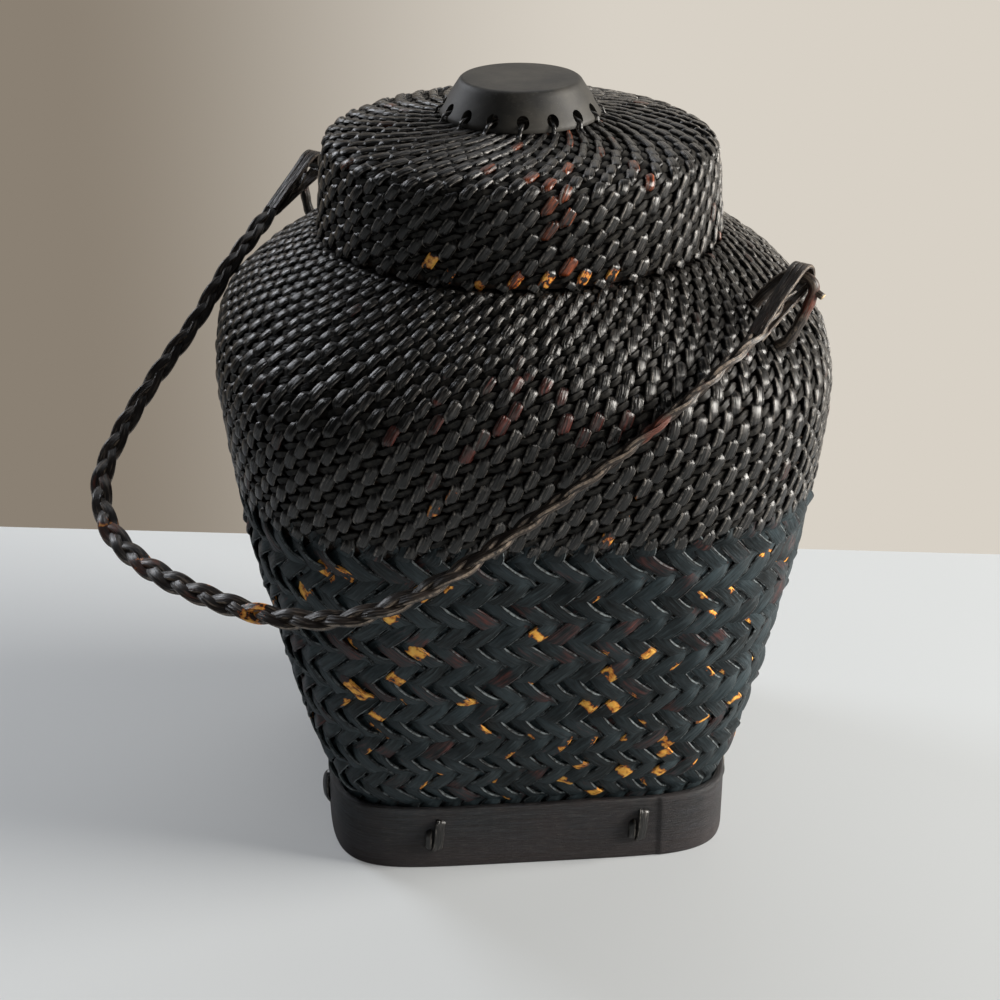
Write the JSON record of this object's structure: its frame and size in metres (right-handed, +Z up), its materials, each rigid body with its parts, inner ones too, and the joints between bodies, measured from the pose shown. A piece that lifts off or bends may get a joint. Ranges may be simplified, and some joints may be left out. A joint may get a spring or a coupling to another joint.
{
  "type": "lidded rice basket",
  "caption": "Tall woven rice basket with a square foot, round shoulder, slip-over woven lid with a turned knob, and a plaited carrying handle that swings on two ears",
  "frame": {"origin": "on the ground under the middle of the square foot", "axes": "+Z up along the basket's axis, +X to the right and +Y to the back, square to the sides of the foot"},
  "size_m": [0.2859, 0.2629, 0.3001],
  "materials": {
    "dark_cane": "blackened split cane, woven, satin",
    "brown_cane": "dark brown cane, satin",
    "bent_strip": "dark bent wood strip with a level grain, matt",
    "split_cane": "dark split cane ties, satin",
    "turned_wood": "black-stained turned wood, satin",
    "plaited_cane": "dark plaited cane with worn light highlights"
  },
  "bodies": {
    "basket": {"foot_band": "bent_strip", "foot_tie_front_a": "split_cane", "foot_tie_front_b": "split_cane", "foot_tie_right_a": "split_cane", "foot_tie_right_b": "split_cane", "foot_tie_back_a": "split_cane", "foot_tie_back_b": "split_cane", "foot_tie_left_a": "split_cane", "foot_tie_left_b": "split_cane", "body_weave": "dark_cane", "mouth_hoop_outer": "brown_cane", "mouth_hoop_inner": "brown_cane", "ear_left": "brown_cane", "ear_right": "brown_cane"},
    "lid": {"lid_weave": "dark_cane", "lid_rim_hoop": "brown_cane", "lid_knob": "turned_wood", "knob_lace_01": "brown_cane", "knob_lace_02": "brown_cane", "knob_lace_03": "brown_cane", "knob_lace_04": "brown_cane", "knob_lace_05": "brown_cane", "knob_lace_06": "brown_cane", "knob_lace_07": "brown_cane", "knob_lace_08": "brown_cane", "knob_lace_09": "brown_cane", "knob_lace_10": "brown_cane", "knob_lace_11": "brown_cane", "knob_lace_12": "brown_cane", "knob_lace_13": "brown_cane", "knob_lace_14": "brown_cane", "knob_lace_15": "brown_cane", "knob_lace_16": "brown_cane"},
    "handle": {"handle_eye_left": "plaited_cane", "handle_eye_right": "plaited_cane", "handle_cord": "plaited_cane"}
  },
  "joints": [
    {"name": "lid_lift", "type": "slide", "parent": "basket", "child": "lid", "axis": [0, 0, 1], "range_m": [0, 0.08]},
    {"name": "handle_swing", "type": "hinge", "parent": "basket", "child": "handle", "pos_m": [0.09424, -0.07101, 0.243], "axis": [-0.7373, 0.6756, 0], "range_deg": [0, 235]}
  ]
}
